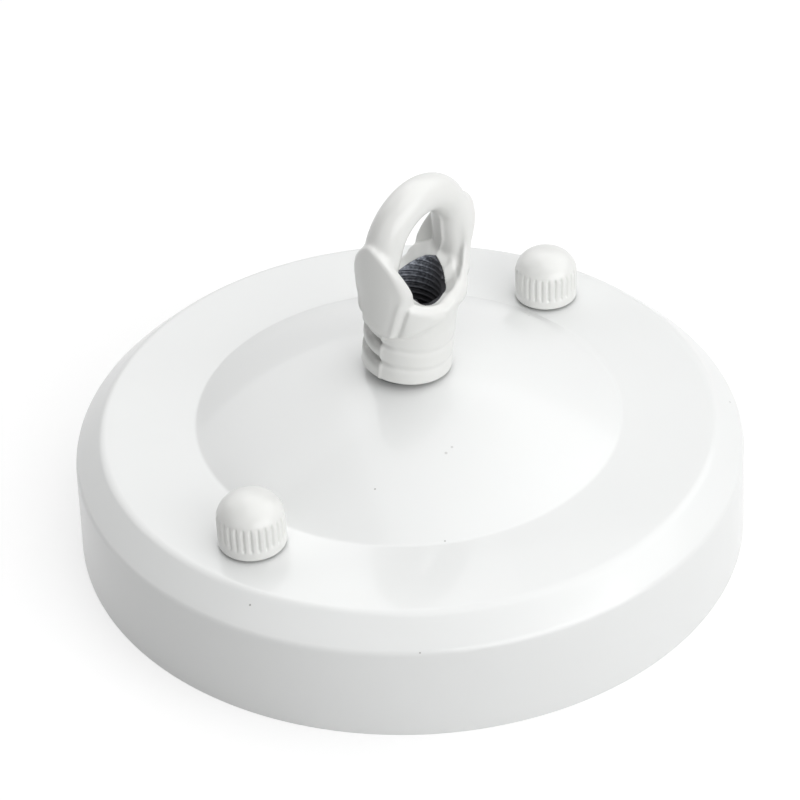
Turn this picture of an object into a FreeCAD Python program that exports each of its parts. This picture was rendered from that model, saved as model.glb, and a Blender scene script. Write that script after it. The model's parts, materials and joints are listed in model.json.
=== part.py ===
import FreeCAD, Part
import Sketcher
import math
import os

# Electrical ceiling rose for a hanging light, built as it lies on a table: the rim's plane is
# z = 0, +Z points into the room, and X runs through the two cap nuts. Millimetres and degrees.

SIZES = {
    # pressed steel canopy
    "rim_diameter": 108.0,
    "skirt_height": 15.3,
    "skirt_draft": 0.6,
    "shoulder_run": 4.45,
    "flat_height": 19.4,
    "crown_height": 28.8,
    "sheet": 0.9,
    "shoulder_round": 1.6,
    "flat_round": 2.2,
    "dome_round": 1.2,
    "crown_hole": 11.2,
    # cap nuts and the studs under them
    "stud_inset": 9.3,
    "stud_diameter": 4.0,
    "stud_engagement": 4.3,
    "stud_head_diameter": 7.6,
    "stud_head_height": 2.4,
    "stud_hole_gap": 0.35,
    "thread_gap": 0.05,
    "cap_diameter": 10.4,
    "cap_height": 9.1,
    "cap_rim_height": 1.3,
    "cap_side_height": 5.2,
    "cap_roof": 3.6,
    "knurl_count": 28,
    "knurl_depth": 0.32,
    "dome_gap": 0.45,
    "lock_nut_flats": 7.0,
    "lock_nut_height": 3.2,
    "lock_washer_diameter": 7.2,
    "lock_washer_height": 0.9,
    # strap bracket that is screwed to the ceiling
    "strap_width": 20.0,
    "strap_thickness": 1.5,
    "strap_rise": 3.0,
    "strap_end": 7.0,
    "strap_corner": 5.0,
    "crank_inset": 14.1,
    "crank_run": 3.5,
    "cable_hole": 14.5,
    "slot_width": 4.5,
    "slot_land": 2.2,
    # earth terminal on the strap
    "earth_inset": 9.4,
    "earth_diameter": 4.0,
    "earth_head_diameter": 7.0,
    "earth_head_height": 2.6,
    "earth_slot_width": 1.0,
    "earth_slot_depth": 1.2,
    "earth_cup_width": 7.4,
    "earth_cup_height": 0.9,
    "earth_nut_flats": 7.0,
    "earth_nut_height": 2.0,
    "earth_length": 5.2,
    # hollow thread through the crown, with its nut and washers
    "nipple_diameter": 10.0,
    "nipple_bore": 8.0,
    "nipple_in_loop": 5.2,
    "nipple_tail": 2.2,
    "nipple_chamfer": 0.5,
    "nipple_nut_flats": 14.0,
    "nipple_nut_height": 3.0,
    "flat_washer_diameter": 16.0,
    "flat_washer_height": 1.0,
    "tooth_washer_diameter": 14.6,
    "tooth_washer_height": 0.8,
    "seat_gap": 0.05,
    # cast loop: how it sits, its collar, its leaves and its ring
    "loop_lean": 5.5,
    "loop_lean_azimuth": -52.7,
    "loop_turn": -5.7,
    "collar_diameter": 14.3,
    "collar_groove_low": 3.5,
    "collar_groove_high": 7.0,
    "collar_groove_width": 0.8,
    "collar_groove_depth": 0.22,
    "collar_height": 14.7,
    "mouth_height": 13.9,
    "mouth_diameter": 12.4,
    "leaf_foot_height": 8.4,
    "leaf_foot_diameter": 14.4,
    "leaf_flare_diameter": 23.4,
    "leaf_flare_height": 28.5,
    "leaf_tip_height": 24.9,
    "leaf_wall": 1.4,
    "leaf_lap": 0.45,
    "leaf_scallop_radius": 8.6,
    "leaf_side_reach": 7.6,
    "leaf_side_rise": 18.6,
    "leaf_notch_height": 14.0,
    "keel_foot_width": 7.2,
    "keel_width": 8.6,
    "keel_shoulder_height": 19.4,
    "keel_arch_radius": 5.4,
    "ring_radius": 7.7,
    "ring_wire": 5.8,
    "ring_height": 22.9,
    "ring_leg_lean": -12.0,
    "ring_leg_length": 12.0,
    "ring_root_lean": -3.0,
    "ring_cover": 0.6,
    "bore_depth": 17.6,
}

doc = FreeCAD.newDocument("ceiling_rose")
sheet = doc.addObject("Spreadsheet::Sheet", "dim")
for row, (alias, number) in enumerate(SIZES.items(), start=1):
    sheet.set(f"A{row}", alias)
    sheet.set(f"B{row}", str(number))
    sheet.setAlias(f"B{row}", alias)
doc.recompute()

NODES = []


def value(expression):
    """The number that an expression on the sheet gives now."""
    return float(sheet.evalExpression(expression))


def node(piece, label, placement=None):
    """Name a finished piece and put it in its place."""
    piece.Label = label
    if placement is not None:
        piece.Placement = placement
    NODES.append(piece)
    return piece


def at(x=0.0, y=0.0, z=0.0):
    return FreeCAD.Placement(FreeCAD.Vector(x, y, z), FreeCAD.Rotation())


def tie(sketch, geometry, end, axis, expression):
    """Hold one coordinate of a sketch point to an expression on the sheet."""
    if expression == "0":
        line = {"X": -2, "Y": -1}[axis]
        sketch.addConstraint(Sketcher.Constraint("PointOnObject", geometry, end, line))
        return
    rule = Sketcher.Constraint("Distance" + axis, -1, 1, geometry, end, value(expression))
    number = sketch.addConstraint(rule)
    sketch.setExpression(f"Constraints[{number}]", expression)


def arc_between(start, end, radius):
    """A minor arc from start to end; a positive radius bulges to the right of the way."""
    chord = end - start
    right = FreeCAD.Vector(chord.y, -chord.x, 0).normalize()
    sag = abs(radius) - math.sqrt(radius ** 2 - chord.Length ** 2 / 4)
    middle = (start + end) * 0.5 + right * math.copysign(sag, radius)
    return Part.Arc(start, middle, end)


def outline(body, plane, corners, arcs=None):
    """A closed sketch on one of the body's own planes. Corners are pairs of expressions,
    and arcs gives the edge that leaves a corner its radius and its side."""
    arcs = arcs or {}
    sketch = body.newObject("Sketcher::SketchObject", body.Name + "_sketch")
    support = next(f for f in body.Origin.OriginFeatures if f.Role == plane)
    sketch.AttachmentSupport = [(support, "")]
    sketch.MapMode = "FlatFace"
    points = [FreeCAD.Vector(value(x), value(y), 0) for x, y in corners]
    ends = []
    for i, start in enumerate(points):
        stop = points[(i + 1) % len(points)]
        if i in arcs:
            radius, side = arcs[i]
            edge = sketch.addGeometry(arc_between(start, stop, side * value(radius)))
        else:
            edge = sketch.addGeometry(Part.LineSegment(start, stop))
        forward = sketch.getPoint(edge, 1).distanceToPoint(start) < 1e-6
        ends.append((1, 2) if forward else (2, 1))
    for i, (x, y) in enumerate(corners):
        following = (i + 1) % len(corners)
        tie(sketch, i, ends[i][0], "X", x)
        tie(sketch, i, ends[i][0], "Y", y)
        sketch.addConstraint(Sketcher.Constraint("Coincident", i, ends[i][1], following, ends[following][0]))
    for i, (radius, side) in arcs.items():
        number = sketch.addConstraint(Sketcher.Constraint("Radius", i, value(radius)))
        sketch.setExpression(f"Constraints[{number}]", radius)
    return sketch


def hole_sketch(body, plane, circles):
    """Circles on one of the body's planes, each given as x, y and diameter expressions."""
    sketch = body.newObject("Sketcher::SketchObject", body.Name + "_holes")
    support = next(f for f in body.Origin.OriginFeatures if f.Role == plane)
    sketch.AttachmentSupport = [(support, "")]
    sketch.MapMode = "FlatFace"
    for i, (x, y, diameter) in enumerate(circles):
        centre = FreeCAD.Vector(value(x), value(y), 0)
        sketch.addGeometry(Part.Circle(centre, FreeCAD.Vector(0, 0, 1), value(diameter) / 2))
        tie(sketch, i, 3, "X", x)
        tie(sketch, i, 3, "Y", y)
        number = sketch.addConstraint(Sketcher.Constraint("Diameter", i, value(diameter)))
        sketch.setExpression(f"Constraints[{number}]", diameter)
    return sketch


def revolved(name, corners, arcs=None):
    """A body turned about Z from a profile in the XZ plane."""
    body = doc.addObject("PartDesign::Body", name)
    profile = outline(body, "XZ_Plane", corners, arcs)
    turn = body.newObject("PartDesign::Revolution", name + "_turn")
    turn.Profile = profile
    turn.ReferenceAxis = (profile, ["V_Axis"])
    turn.Angle = 360
    doc.recompute()
    return body


def extruded(name, plane, corners, length, arcs=None):
    """A body padded to both sides of one of its planes."""
    body = doc.addObject("PartDesign::Body", name)
    profile = outline(body, plane, corners, arcs)
    pad = body.newObject("PartDesign::Pad", name + "_pad")
    pad.Profile = profile
    pad.Midplane = True
    pad.setExpression("Length", length)
    doc.recompute()
    return body


def drilled(body, plane, circles):
    """Cut round holes up through a body that stands on the plane."""
    cut = body.newObject("PartDesign::Pocket", body.Name + "_drill")
    cut.Profile = hole_sketch(body, plane, circles)
    cut.Type = "ThroughAll"
    cut.Reversed = True
    before = body.Shape.Volume
    doc.recompute()
    if body.Shape.Volume >= before:
        raise RuntimeError(body.Name + ": a hole cut nothing")


def round_edge(radius, height):
    """A test for the round edge of a turned body at the given radius and height."""
    def test(edge):
        if edge.Degenerated or not isinstance(edge.Curve, Part.Circle):
            return False
        across = abs(edge.Curve.Radius - value(radius))
        along = abs(edge.Curve.Center.z - value(height))
        return max(across, along) < 1e-4
    return test


def upright_edge(distance):
    """A test for the straight edges along Z at the given distance to either side of X = 0."""
    def test(edge):
        ends = [vertex.Point for vertex in edge.Vertexes]
        if len(ends) != 2:
            return False
        upright = (ends[1] - ends[0]).cross(FreeCAD.Vector(0, 0, 1)).Length < 1e-6
        return upright and abs(abs(ends[0].x) - value(distance)) < 1e-4
    return test


def rounded(body, radius, test):
    """Fillet the edges of a body that pass the test."""
    base = body.Tip
    names = [f"Edge{i}" for i, edge in enumerate(base.Shape.Edges, start=1) if test(edge)]
    fillet = body.newObject("PartDesign::Fillet", body.Name + "_round")
    fillet.Base = (base, names)
    fillet.setExpression("Radius", radius)
    doc.recompute()


def combined(kind, name, base, tool):
    """A Part boolean: Cut, Fuse or Common."""
    result = doc.addObject("Part::" + kind, name)
    result.Base = base
    result.Tool = tool
    doc.recompute()
    return result


def hex_nut(name, flats, bore, height):
    """A hexagon nut standing on z = 0, with both rims chamfered by a turned envelope."""
    across = f"({flats} / 2)"
    corner = f"({flats} / sqrt(3))"
    half = f"({flats} / sqrt(3) / 2)"
    body = extruded(name + "_hexagon", "XY_Plane", [
        (corner, "0"), (half, across), ("-" + half, across),
        ("-" + corner, "0"), ("-" + half, "-" + across), (half, "-" + across),
    ], f"2 * ({height})")
    slope = f"(({corner} - {across}) * tan(30 * 1deg))"
    envelope = revolved(name + "_envelope", [
        (f"({bore}) / 2", "0"), (across, "0"), (corner, slope),
        (corner, f"{height} - {slope}"), (across, height), (f"({bore}) / 2", height),
    ])
    return combined("Common", name, body, envelope)


def ring(name, outer, inner, height):
    """A plain washer standing on z = 0."""
    return revolved(name, [
        (f"({inner}) / 2", "0"), (f"({outer}) / 2", "0"),
        (f"({outer}) / 2", height), (f"({inner}) / 2", height),
    ])


# Places that several pieces share
RIM_R = "(dim.rim_diameter / 2)"
SKIRT_R = "(dim.rim_diameter / 2 - dim.skirt_draft)"
FLAT_R = f"({SKIRT_R} - dim.shoulder_run)"
STUD_X = f"({FLAT_R} - dim.stud_inset)"
DOME_R = f"({STUD_X} - dim.cap_diameter / 2 - dim.dome_gap)"
DOME_RISE = "(dim.crown_height - dim.flat_height)"
DOME_SPHERE = f"(({DOME_R} ^ 2 + {DOME_RISE} ^ 2) / (2 * {DOME_RISE}))"
STUD_HOLE = "(dim.stud_diameter + 2 * dim.stud_hole_gap)"
STUD_BORE = "(dim.stud_diameter + 2 * dim.thread_gap)"
NIPPLE_BORE = "(dim.nipple_diameter + 2 * dim.thread_gap)"
STRAP_TOP = "(dim.strap_rise + dim.strap_thickness)"
CRANK_X = f"({STUD_X} - dim.crank_inset - dim.crank_run)"
EARTH_X = f"({STUD_X} - dim.earth_inset)"
EARTH_BORE = "(dim.earth_diameter + 2 * dim.thread_gap)"
LEAN = "(dim.loop_lean * 1deg)"
# the leaned base lies on the dome at a tangent, and the washer inside touches it at one edge
BASE_RISE = f"({DOME_SPHERE} * (1 - cos({LEAN})) + dim.seat_gap)"
INNER_SPHERE = f"({DOME_SPHERE} - dim.sheet - dim.seat_gap)"
WASHER_R = "(dim.flat_washer_diameter / 2)"
WASHER_REACH = (f"({DOME_SPHERE} ^ 2 * cos({LEAN}) ^ 2 - {DOME_SPHERE} ^ 2 + {INNER_SPHERE} ^ 2"
                f" - {WASHER_R} ^ 2 - 2 * {WASHER_R} * {DOME_SPHERE} * sin({LEAN}))")
WASHER_DROP = f"({BASE_RISE} + {DOME_SPHERE} * cos({LEAN}) - sqrt({WASHER_REACH}))"
SIDES = {"front": -1, "rear": 1}


def make_canopy():
    """Skirt, shoulder, flat ring and dome pressed from one sheet."""
    slope = "atan(dim.shoulder_run / (dim.flat_height - dim.skirt_height))"
    inner_skirt = f"({SKIRT_R} - dim.sheet)"
    inner_skirt_top = f"(dim.skirt_height - dim.sheet * tan({slope} / 2))"
    inner_flat = f"({FLAT_R} - dim.sheet * tan((90deg - {slope}) / 2))"
    inner_height = "(dim.flat_height - dim.sheet)"
    inner_sphere = f"({DOME_SPHERE} - dim.sheet)"
    centre = f"({DOME_SPHERE} - dim.crown_height)"
    inner_dome = f"sqrt({inner_sphere} ^ 2 - ({inner_height} + {centre}) ^ 2)"
    body = revolved("canopy", [
        ("0", "0"), (RIM_R, "0"), (SKIRT_R, "dim.skirt_height"), (FLAT_R, "dim.flat_height"),
        (DOME_R, "dim.flat_height"), ("0", "dim.crown_height"),
    ], {4: (DOME_SPHERE, 1)})
    rounded(body, "dim.shoulder_round", round_edge(SKIRT_R, "dim.skirt_height"))
    rounded(body, "dim.flat_round", round_edge(FLAT_R, "dim.flat_height"))
    rounded(body, "dim.dome_round", round_edge(DOME_R, "dim.flat_height"))
    hollow = body.newObject("PartDesign::Groove", "canopy_hollow")
    hollow.Profile = outline(body, "XZ_Plane", [
        ("0", "0"), (f"{RIM_R} - dim.sheet", "0"), (inner_skirt, inner_skirt_top),
        (inner_flat, inner_height), (inner_dome, inner_height), ("0", "dim.crown_height - dim.sheet"),
    ], {4: (inner_sphere, 1)})
    hollow.ReferenceAxis = (hollow.Profile[0], ["V_Axis"])
    hollow.Angle = 360
    doc.recompute()
    rounded(body, "dim.shoulder_round - dim.sheet", round_edge(inner_skirt, inner_skirt_top))
    rounded(body, "dim.flat_round - dim.sheet", round_edge(inner_flat, inner_height))
    rounded(body, "dim.dome_round + dim.sheet", round_edge(inner_dome, inner_height))
    drilled(body, "XY_Plane", [("0", "0", "dim.crown_hole")]
            + [("-" * (side < 0) + STUD_X, "0", STUD_HOLE) for side in SIDES.values()])
    node(body, "canopy")


def make_cap_nut(side):
    """Blind cap nut: plain rim, knurled side and domed top."""
    radius = "(dim.cap_diameter / 2)"
    dome_height = "(dim.cap_height - dim.cap_side_height)"
    dome_arc = f"(({radius} ^ 2 + {dome_height} ^ 2) / (2 * {dome_height}))"
    bore = f"({STUD_BORE} / 2)"
    depth = "(dim.cap_height - dim.cap_roof)"
    body = revolved(side + "_cap_nut", [
        (bore, "0"), (radius, "0"), (radius, "dim.cap_side_height"),
        ("0", "dim.cap_height"), ("0", depth), (bore, depth),
    ], {2: (dome_arc, 1)})
    groove = body.newObject("PartDesign::Pocket", body.Name + "_groove")
    flute = outline(body, "XY_Plane", [
        (f"{radius} - dim.knurl_depth", "0"), (f"{radius} + dim.knurl_depth", "-2 * dim.knurl_depth"),
        (f"{radius} + dim.knurl_depth", "2 * dim.knurl_depth"),
    ])
    flute.setExpression("AttachmentOffset.Base.z", "dim.cap_rim_height")
    groove.Profile = flute
    groove.Type = "Length"
    groove.Reversed = True
    groove.setExpression("Length", "dim.cap_side_height - dim.cap_rim_height")
    before = body.Shape.Volume
    doc.recompute()
    if body.Shape.Volume >= before:
        raise RuntimeError("the knurl cut nothing")
    knurl = body.newObject("PartDesign::PolarPattern", body.Name + "_knurl")
    knurl.Originals = [groove]
    knurl.Axis = (flute, ["N_Axis"])
    knurl.Angle = 360
    knurl.setExpression("Occurrences", "dim.knurl_count")
    body.Tip = knurl
    doc.recompute()
    node(body, side + "_cap_nut", at(SIDES[side] * value(STUD_X), 0, value("dim.flat_height")))


def make_stud(side):
    """Machine screw with its head on the ceiling side of the strap."""
    shank = "(dim.stud_diameter / 2)"
    head = "(dim.stud_head_diameter / 2)"
    tip = "(dim.flat_height + dim.stud_engagement - dim.strap_rise)"
    body = revolved(side + "_stud_screw", [
        ("0", "-dim.stud_head_height"), (head, "-dim.stud_head_height"), (head, "0"),
        (shank, "0"), (shank, f"{tip} - {shank} / 3"), (f"{shank} * 2 / 3", tip), ("0", tip),
    ])
    node(body, side + "_stud_screw", at(SIDES[side] * value(STUD_X), 0, value("dim.strap_rise")))


def make_stud_fixing(side):
    """Lock washer and nut that hold a stud upright on the strap."""
    x = SIDES[side] * value(STUD_X)
    seat = value(STRAP_TOP)
    washer = ring(side + "_lock_washer", "dim.lock_washer_diameter", STUD_BORE, "dim.lock_washer_height")
    node(washer, side + "_lock_washer", at(x, 0, seat))
    nut = hex_nut(side + "_lock_nut", "dim.lock_nut_flats", STUD_BORE, "dim.lock_nut_height")
    node(nut, side + "_lock_nut", at(x, 0, seat + value("dim.lock_washer_height")))


def make_strap():
    """Cranked steel strap: its middle lies on the ceiling and its ends stand off it."""
    bend = "(dim.strap_thickness * tan(atan(dim.strap_rise / dim.crank_run) / 2))"
    half = [("dim.strap_rise", STRAP_TOP, f"({STUD_X} + dim.strap_end)", "0"),
            ("dim.strap_rise", STRAP_TOP, f"({STUD_X} - dim.crank_inset)", bend),
            ("0", "dim.strap_thickness", CRANK_X, bend)]
    under = [(x, low) for low, high, x, shift in half]
    over = [(f"({x} - {shift})", high) for low, high, x, shift in half]
    corners = [("-" + x, z) for x, z in under] + under[::-1]
    corners += over + [("-" + x, z) for x, z in over[::-1]]
    body = extruded("strap_bracket", "XZ_Plane", corners, "dim.strap_width")
    rounded(body, "dim.strap_corner", upright_edge(f"{STUD_X} + dim.strap_end"))
    drilled(body, "XY_Plane", [
        ("0", "0", "dim.cable_hole"), (STUD_X, "0", STUD_BORE), ("-" + STUD_X, "0", STUD_BORE),
        (EARTH_X, "0", EARTH_BORE),
    ])
    inner = "(dim.cable_hole / 2 + dim.slot_land)"
    outer = f"({CRANK_X} - {bend} - dim.slot_land)"
    for sign in ("", "-"):
        slot = body.newObject("PartDesign::Pocket", "strap_slot")
        slot.Profile = outline(body, "XY_Plane", [
            (sign + inner, "-dim.slot_width / 2"), (sign + outer, "-dim.slot_width / 2"),
            (sign + outer, "dim.slot_width / 2"), (sign + inner, "dim.slot_width / 2"),
        ])
        slot.Type = "ThroughAll"
        slot.Reversed = True
        doc.recompute()
    for end in (inner, outer):
        rounded(body, "dim.slot_width * 0.49", upright_edge(end))
    node(body, "strap_bracket")


def make_earth_terminal():
    """Slotted brass screw through the raised end of the strap, with its washer and nut."""
    x = value(EARTH_X)
    seat = value(STRAP_TOP)
    washer = ring("earth_washer", "dim.earth_cup_width", EARTH_BORE, "dim.earth_cup_height")
    node(washer, "earth_washer", at(x, 0, seat))
    shank = "(dim.earth_diameter / 2)"
    head = "(dim.earth_head_diameter / 2)"
    screw = revolved("earth_blank", [
        ("0", "-dim.earth_length"), (shank, "-dim.earth_length"), (shank, "0"), (head, "0"),
        (head, "dim.earth_head_height - dim.earth_slot_depth / 2"),
        (f"{head} * 0.86", "dim.earth_head_height"), ("0", "dim.earth_head_height"),
    ])
    slot_floor = "dim.earth_head_height - dim.earth_slot_depth"
    slot_top = "dim.earth_head_height + dim.earth_slot_depth"
    slot = extruded("earth_slot", "XZ_Plane", [
        ("-dim.earth_slot_width / 2", slot_floor), ("dim.earth_slot_width / 2", slot_floor),
        ("dim.earth_slot_width / 2", slot_top), ("-dim.earth_slot_width / 2", slot_top),
    ], "2 * dim.earth_head_diameter")
    screw = combined("Cut", "earth_screw", screw, slot)
    node(screw, "earth_screw", at(x, 0, seat + value("dim.earth_cup_height")))
    nut = hex_nut("earth_nut", "dim.earth_nut_flats", EARTH_BORE, "dim.earth_nut_height")
    node(nut, "earth_nut", at(x, 0, value("dim.strap_rise - dim.earth_nut_height")))


def loop_frame():
    """Where the loop's base meets the crown: turned about its own axis, then leaned over."""
    toward = math.radians(value("dim.loop_lean_azimuth"))
    across = FreeCAD.Vector(-math.sin(toward), math.cos(toward), 0)
    lean = FreeCAD.Rotation(across, value("dim.loop_lean"))
    turn = FreeCAD.Rotation(FreeCAD.Vector(0, 0, 1), value("dim.loop_turn"))
    crown = FreeCAD.Vector(0, 0, value("dim.crown_height"))
    return FreeCAD.Placement(crown + lean.multVec(FreeCAD.Vector(0, 0, value(BASE_RISE))), lean.multiply(turn))


def make_nipple(frame):
    """Hollow thread that clamps the loop to the crown, with two washers and a nut inside."""
    bore = "(dim.nipple_bore / 2)"
    outer = "(dim.nipple_diameter / 2)"
    edge = f"({outer} - dim.nipple_chamfer)"
    stack = "(dim.flat_washer_height + dim.tooth_washer_height + dim.nipple_nut_height)"
    tail = f"(-{WASHER_DROP} - {stack} - dim.nipple_tail)"
    thread = revolved("threaded_nipple", [
        (bore, tail), (edge, tail), (outer, f"{tail} + dim.nipple_chamfer"),
        (outer, "dim.nipple_in_loop - dim.nipple_chamfer"), (edge, "dim.nipple_in_loop"),
        (bore, "dim.nipple_in_loop"),
    ])
    node(thread, "threaded_nipple", frame)
    below = -value(WASHER_DROP) - value("dim.flat_washer_height")
    washer = ring("nipple_flat_washer", "dim.flat_washer_diameter", NIPPLE_BORE, "dim.flat_washer_height")
    node(washer, "nipple_flat_washer", frame * at(0, 0, below))
    below -= value("dim.tooth_washer_height")
    washer = ring("nipple_lock_washer", "dim.tooth_washer_diameter", NIPPLE_BORE, "dim.tooth_washer_height")
    node(washer, "nipple_lock_washer", frame * at(0, 0, below))
    below -= value("dim.nipple_nut_height")
    nut = hex_nut("nipple_lock_nut", "dim.nipple_nut_flats", NIPPLE_BORE, "dim.nipple_nut_height")
    node(nut, "nipple_lock_nut", frame * at(0, 0, below))


def leaf_cup(name, inset, top):
    """The flared cup that the leaves are cut from, drawn in from its face by an inset, and
    carried straight up from the end of the flare to a top height."""
    low = "(dim.leaf_foot_height - dim.leaf_wall)"
    foot = f"(dim.leaf_foot_diameter / 2 - {inset})"
    flare = f"(dim.leaf_flare_diameter / 2 - {inset})"
    return revolved(name, [
        ("0", low), (foot, low),
        (flare, "dim.leaf_flare_height"), (flare, top), ("0", top),
    ])


def make_leaves():
    """Two opposite leaves: side lobes with a scalloped foot, and a raised keel on each."""
    top = "(dim.leaf_flare_height + dim.leaf_wall)"
    through = "2 * dim.leaf_flare_diameter"
    centre = "(dim.leaf_foot_height + dim.leaf_scallop_radius)"
    keel_foot = "(dim.keel_foot_width / 2)"
    keel_side = "(dim.keel_width / 2)"
    keel_low = f"({centre} - sqrt(dim.leaf_scallop_radius ^ 2 - {keel_foot} ^ 2))"
    side_low = f"({centre} - sqrt(dim.leaf_scallop_radius ^ 2 - dim.leaf_side_reach ^ 2))"
    keel_shape = extruded("keel_shape", "YZ_Plane", [
        ("-" + keel_foot, keel_low), (keel_foot, keel_low), (keel_side, "dim.keel_shoulder_height"),
        ("0", "dim.leaf_tip_height"), ("-" + keel_side, "dim.keel_shoulder_height"),
    ], through, {0: ("dim.leaf_scallop_radius", 1), 2: ("dim.keel_arch_radius", 1),
                 3: ("dim.keel_arch_radius", 1)})
    side_shape = extruded("side_shape", "YZ_Plane", [
        ("-dim.leaf_side_reach", side_low), ("dim.leaf_side_reach", side_low),
        ("dim.leaf_side_reach", "dim.leaf_notch_height"), (keel_side, "dim.leaf_side_rise"),
        ("-" + keel_side, "dim.leaf_side_rise"), ("-dim.leaf_side_reach", "dim.leaf_notch_height"),
    ], through, {0: ("dim.leaf_scallop_radius", 1)})
    keels = combined("Common", "keels", leaf_cup("keel_cup", "0", top), keel_shape)
    sides = combined("Common", "side_lobes", leaf_cup("side_cup", "dim.leaf_lap", top), side_shape)
    leaves = combined("Fuse", "leaves", keels, sides)
    mouth = "(dim.mouth_diameter / 2)"
    inner_flare = "(dim.leaf_flare_diameter / 2 - dim.leaf_wall)"
    hollow = revolved("cup_hollow", [
        ("0", "dim.mouth_height"), (mouth, "dim.mouth_height"),
        (inner_flare, "dim.leaf_flare_height"), (inner_flare, top), ("0", top),
    ])
    return combined("Cut", "leaf_shells", leaves, hollow)


def make_ring():
    """Round wire bent to an arch, its legs widening from the bore out into the leaves that cover
    them."""
    lean = math.radians(value("dim.ring_leg_lean"))
    radius = value("dim.ring_radius")
    height = value("dim.ring_height")
    arch = doc.addObject("Part::Torus", "ring_arch")
    arch.setExpression("Radius1", "dim.ring_radius")
    arch.setExpression("Radius2", "dim.ring_wire / 2")
    arch.setExpression("Angle3", "180 + 2 * dim.ring_leg_lean")
    upright = FreeCAD.Rotation(FreeCAD.Vector(1, 0, 0), 90)
    start = FreeCAD.Rotation(FreeCAD.Vector(0, 0, 1), -value("dim.ring_leg_lean"))
    arch.Placement = FreeCAD.Placement(FreeCAD.Vector(0, 0, height), upright.multiply(start))
    wire = arch
    for sign in (-1, 1):
        head = FreeCAD.Vector(sign * radius * math.cos(lean), 0, height - radius * math.sin(lean))
        for slant in ("dim.ring_leg_lean", "dim.ring_root_lean"):
            leg = doc.addObject("Part::Cylinder", "ring_leg")
            leg.setExpression("Radius", "dim.ring_wire / 2")
            leg.setExpression("Height", "dim.ring_leg_length")
            tilt = math.radians(value(slant))
            down = FreeCAD.Vector(-sign * math.sin(tilt), 0, -math.cos(tilt))
            leg.Placement = FreeCAD.Placement(head, FreeCAD.Rotation(FreeCAD.Vector(0, 0, 1), down))
            wire = combined("Fuse", "ring_wire", wire, leg)
    top = "(dim.ring_height + dim.ring_radius + dim.ring_wire)"
    return combined("Common", "ring", wire, leaf_cup("ring_limit", "dim.ring_cover", top))


def make_loop(frame):
    """One casting: grooved collar, two leaves and the ring that carries the chain."""
    radius = "(dim.collar_diameter / 2)"
    profile = [("0", "0"), (radius, "0")]
    for groove in ("dim.collar_groove_low", "dim.collar_groove_high"):
        profile += [
            (radius, f"{groove} - dim.collar_groove_width / 2"),
            (f"{radius} - dim.collar_groove_depth", groove),
            (radius, f"{groove} + dim.collar_groove_width / 2"),
        ]
    profile += [(radius, "dim.collar_height"), ("dim.mouth_diameter / 2", "dim.mouth_height"),
                ("0", "dim.mouth_height")]
    collar = revolved("loop_collar", profile)
    cup = combined("Fuse", "loop_cup", collar, make_leaves())
    blank = combined("Fuse", "loop_blank", cup, make_ring())
    bore = doc.addObject("Part::Cylinder", "loop_bore")
    bore.setExpression("Radius", NIPPLE_BORE + " / 2")
    bore.setExpression("Height", "dim.bore_depth")
    node(combined("Cut", "loop_hook", blank, bore), "loop_hook", frame)


def check():
    """Stop before anything is written if a feature failed or a piece is not one sound solid."""
    failed = [o.Name for o in doc.Objects if {"Invalid", "Error"} & set(o.State)]
    failed += [o.Name for o in doc.Objects if o.isDerivedFrom("Part::Boolean") and not o.Shape.Solids]
    unsound = [p.Label for p in NODES if p.Shape.isNull() or not p.Shape.isValid() or len(p.Shape.Solids) != 1]
    if failed or unsound:
        raise RuntimeError(f"failed features: {failed}; unsound pieces: {unsound}")


make_canopy()
make_strap()
make_earth_terminal()
for end in SIDES:
    make_stud(end)
    make_stud_fixing(end)
    make_cap_nut(end)
seat_on_crown = loop_frame()
make_nipple(seat_on_crown)
make_loop(seat_on_crown)

doc.recompute()
check()
os.makedirs("parts", exist_ok=True)
for piece in NODES:
    piece.Shape.exportStep(f"parts/{piece.Label}.step")
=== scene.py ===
import json
import math

import bmesh
import bpy
import numpy as np
from mathutils import Matrix, Vector

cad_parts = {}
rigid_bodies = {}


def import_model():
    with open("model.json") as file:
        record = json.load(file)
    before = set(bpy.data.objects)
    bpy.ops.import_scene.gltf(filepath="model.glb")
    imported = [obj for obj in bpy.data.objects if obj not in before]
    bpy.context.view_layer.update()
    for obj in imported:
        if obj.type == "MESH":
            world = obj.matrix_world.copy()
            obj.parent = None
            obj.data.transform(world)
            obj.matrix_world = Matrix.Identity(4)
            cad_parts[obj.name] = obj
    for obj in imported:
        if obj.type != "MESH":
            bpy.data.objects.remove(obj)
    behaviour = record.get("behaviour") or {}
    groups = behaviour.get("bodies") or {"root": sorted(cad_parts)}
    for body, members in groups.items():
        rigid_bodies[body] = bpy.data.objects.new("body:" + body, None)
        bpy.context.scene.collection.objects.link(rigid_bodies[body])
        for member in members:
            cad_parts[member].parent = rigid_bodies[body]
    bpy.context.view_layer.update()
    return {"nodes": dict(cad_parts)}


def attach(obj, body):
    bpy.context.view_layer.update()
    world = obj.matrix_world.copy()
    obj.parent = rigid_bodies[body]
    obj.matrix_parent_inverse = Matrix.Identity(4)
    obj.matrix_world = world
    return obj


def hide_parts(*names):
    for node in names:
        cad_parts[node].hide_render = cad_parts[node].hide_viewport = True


# Ceiling rose, laid with its rim on a board: a white steel canopy on a hidden strap, with a loop at
# its crown. Its solids come in metres, with the rim's plane at z = 0, +Z into the room and X through
# the two cap nuts.
for stray in list(bpy.data.objects):
    bpy.data.objects.remove(stray)
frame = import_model()
scene = bpy.context.scene
MM = 0.001


# Strap bracket: zinc-plated steel strip, stamped and cranked so that its middle lies on the ceiling
# and its ends stand off it. A round hole lets the cable in and two slots take the ceiling screws.

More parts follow.
